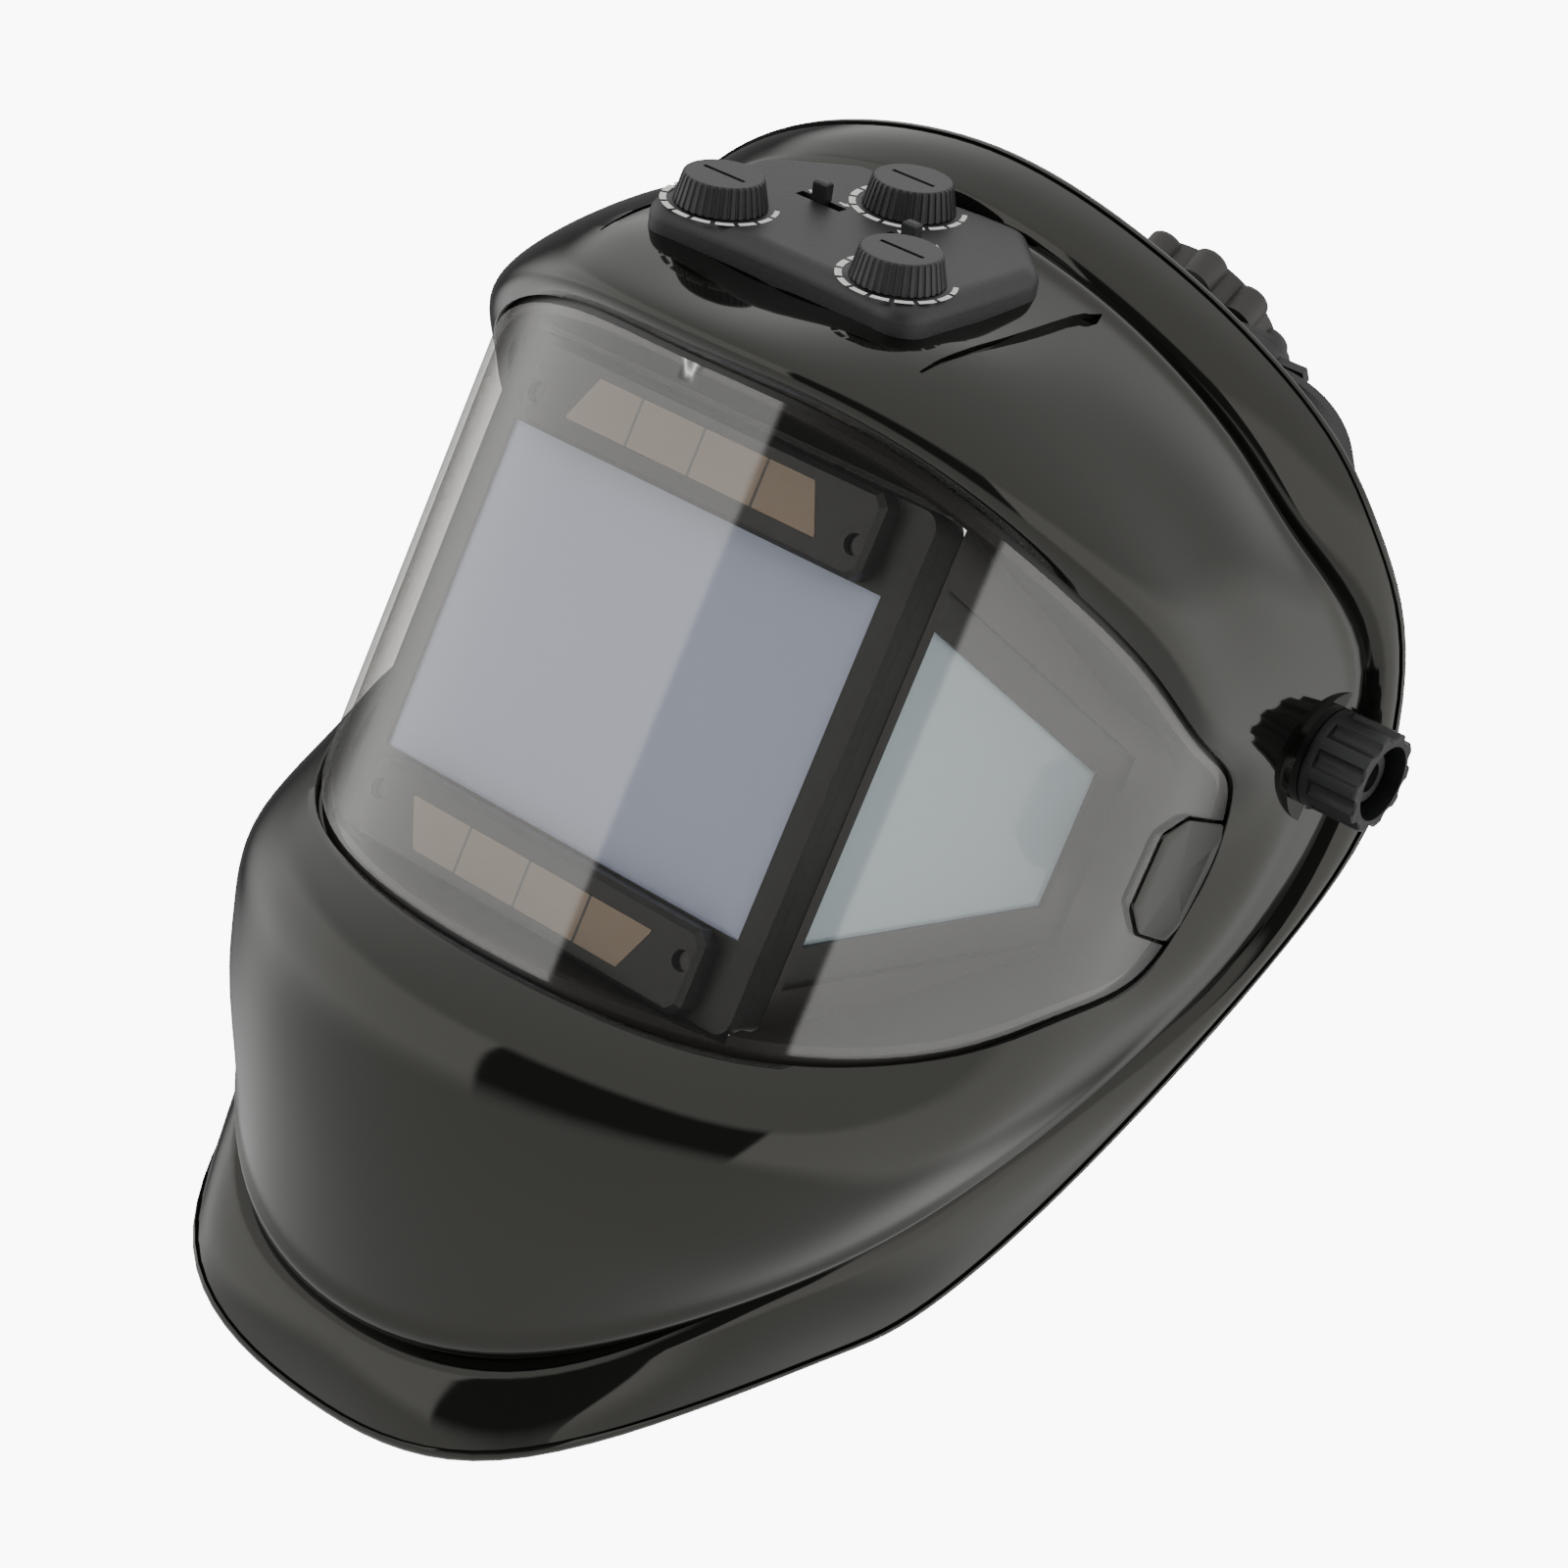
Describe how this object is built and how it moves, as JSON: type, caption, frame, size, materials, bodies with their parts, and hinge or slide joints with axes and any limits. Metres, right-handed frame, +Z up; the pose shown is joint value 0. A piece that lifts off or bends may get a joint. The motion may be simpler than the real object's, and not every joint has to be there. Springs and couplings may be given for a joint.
{
  "type": "welding helmet",
  "caption": "Auto-darkening welding helmet: glossy shell, curved clear lens over front and side filters, dial console, tilt pivots and ratchet headgear.",
  "frame": {"origin": "midpoint of the tilt axis between the two side pivots, with the visor in its raised display setting over the headgear", "axes": "+X to the wearer's left, -Y forwards out of the lens, +Z up; the headgear rests tilted 55 degrees about X, back up"},
  "size_m": [0.2406, 0.2223, 0.295],
  "materials": {
    "shell_gloss": "deep gloss black moulded shell",
    "lens_clear": "clear polycarbonate, faint warm grey",
    "bezel_black": "satin black",
    "carrier_black": "satin black",
    "cartridge_black": "satin dark grey",
    "filter_front": "polished pale lavender-blue filter glass",
    "filter_side": "polished pale ice-blue filter glass",
    "inner_clear": "clear polycarbonate",
    "solar": "brown silicon cells under a clear coat",
    "sensor": "dark lens",
    "board_green": "solder mask",
    "steel": "zinc-plated",
    "cell_steel": "nickel-plated",
    "console_matte": "fine matte charcoal",
    "dial_matte": "fine matte charcoal",
    "component_black": "satin",
    "lead_black": "satin insulation",
    "band_black": "satin black polyethylene",
    "sweat_cloth": "dark grey terry over foam",
    "washer_grey": "natural acetal",
    "brass": "turned",
    "knob_black": "satin black nylon",
    "ratchet_brown": "matt dark grey-brown"
  },
  "bodies": {
    "headgear": {"headband": "band_black", "brow_sweatband": "sweat_cloth", "side_arm_left": "band_black", "side_arm_right": "band_black", "headgear_rivets": "component_black", "crown_strap_left": "band_black", "crown_strap_right": "band_black", "crown_peg": "component_black", "ratchet_housing": "band_black", "ratchet_cover": "band_black", "rear_pad": "sweat_cloth"},
    "carriage": {"slide_block_left": "washer_grey", "slide_block_right": "washer_grey", "pivot_bolt_left": "steel", "pivot_bolt_right": "steel", "friction_washer_left": "washer_grey", "friction_washer_right": "washer_grey", "tilt_stop_washer_left": "steel", "tilt_stop_washer_right": "steel"},
    "shell": {"helmet_shell": "shell_gloss", "front_cover_lens": "lens_clear", "lens_retaining_frame": "bezel_black", "filter_carrier": "carrier_black", "adf_front_housing": "cartridge_black", "adf_rear_housing": "cartridge_black", "adf_filter_glass": "filter_front", "adf_inner_cover": "inner_clear", "solar_cell_top": "solar", "solar_cell_bottom": "solar", "light_sensors": "sensor", "adf_circuit_board": "board_green", "adf_screws": "steel", "side_filter_frame_left": "cartridge_black", "side_filter_frame_right": "cartridge_black", "side_filter_glass_left": "filter_side", "side_filter_glass_right": "filter_side", "side_inner_cover_left": "inner_clear", "side_inner_cover_right": "inner_clear", "console_housing": "console_matte", "console_circuit_board": "board_green", "console_screws": "steel", "console_lead": "lead_black", "potentiometers": "component_black", "slide_switch_bodies": "component_black"},
    "side_knob_left": {"side_knob_left": "knob_black", "knob_insert_left": "brass"},
    "side_knob_right": {"side_knob_right": "knob_black", "knob_insert_right": "brass"},
    "ratchet": {"ratchet_knob": "ratchet_brown", "ratchet_pinion": "component_black"},
    "rack_left": {"rear_rack_left": "band_black"},
    "rack_right": {"rear_rack_right": "band_black"},
    "dial_sensitivity": {"dial_sensitivity": "dial_matte"},
    "dial_shade": {"dial_shade": "dial_matte"},
    "dial_delay": {"dial_delay": "dial_matte"},
    "slider_range": {"switch_slider_range": "dial_matte"},
    "slider_mode": {"switch_slider_mode": "dial_matte"},
    "drawer": {"battery_drawer": "cartridge_black", "battery_cell": "cell_steel"}
  },
  "joints": [
    {"name": "fore_aft", "type": "slide", "parent": "headgear", "child": "carriage", "axis": [0, 0.5736, 0.8192], "range_m": [-0.005, 0.005]},
    {"name": "shell_tilt", "type": "hinge", "parent": "carriage", "child": "shell", "pos_m": [0, 0, 0], "axis": [-1, 0, 0], "range_deg": [-57, 30]},
    {"name": "side_knob_left_turn", "type": "hinge", "parent": "carriage", "child": "side_knob_left", "pos_m": [0.1135, 0, 0], "axis": [1, 0, 0], "range_deg": [-120, 120]},
    {"name": "side_knob_right_turn", "type": "hinge", "parent": "carriage", "child": "side_knob_right", "pos_m": [-0.1135, 0, 0], "axis": [1, 0, 0], "range_deg": [-120, 120]},
    {"name": "ratchet_turn", "type": "hinge", "parent": "headgear", "child": "ratchet", "pos_m": [0, 0.06063, 0.06741], "axis": [0, 0.5736, 0.8192], "range_deg": [-90, 90]},
    {"name": "rack_left_slide", "type": "slide", "parent": "headgear", "child": "rack_left", "axis": [1, 0, 0], "range_m": [-0.0096, 0.0096]},
    {"name": "rack_right_slide", "type": "slide", "parent": "headgear", "child": "rack_right", "axis": [-1, 0, 0], "range_m": [-0.0096, 0.0096]},
    {"name": "sensitivity_turn", "type": "hinge", "parent": "shell", "child": "dial_sensitivity", "pos_m": [-0.0235, -0.1009, 0.05957], "axis": [0, -0.4147, 0.91], "range_deg": [-135, 135]},
    {"name": "shade_turn", "type": "hinge", "parent": "shell", "child": "dial_shade", "pos_m": [0, -0.07042, 0.07346], "axis": [0, -0.4147, 0.91], "range_deg": [-135, 135]},
    {"name": "delay_turn", "type": "hinge", "parent": "shell", "child": "dial_delay", "pos_m": [0.0235, -0.1009, 0.05957], "axis": [0, -0.4147, 0.91], "range_deg": [-135, 135]},
    {"name": "range_switch_slide", "type": "slide", "parent": "shell", "child": "slider_range", "axis": [1, 0, 0], "range_m": [-0.004, 0.004]},
    {"name": "mode_switch_slide", "type": "slide", "parent": "shell", "child": "slider_mode", "axis": [1, 0, 0], "range_m": [-0.004, 0.004]},
    {"name": "battery_drawer_slide", "type": "slide", "parent": "shell", "child": "drawer", "axis": [0, 0, -1], "range_m": [0, 0.016]}
  ],
  "couplings": [
    {"joint": "rack_left_slide", "follows": "ratchet_turn", "m_per_rad": 0.006},
    {"joint": "rack_right_slide", "follows": "ratchet_turn", "m_per_rad": 0.006}
  ]
}
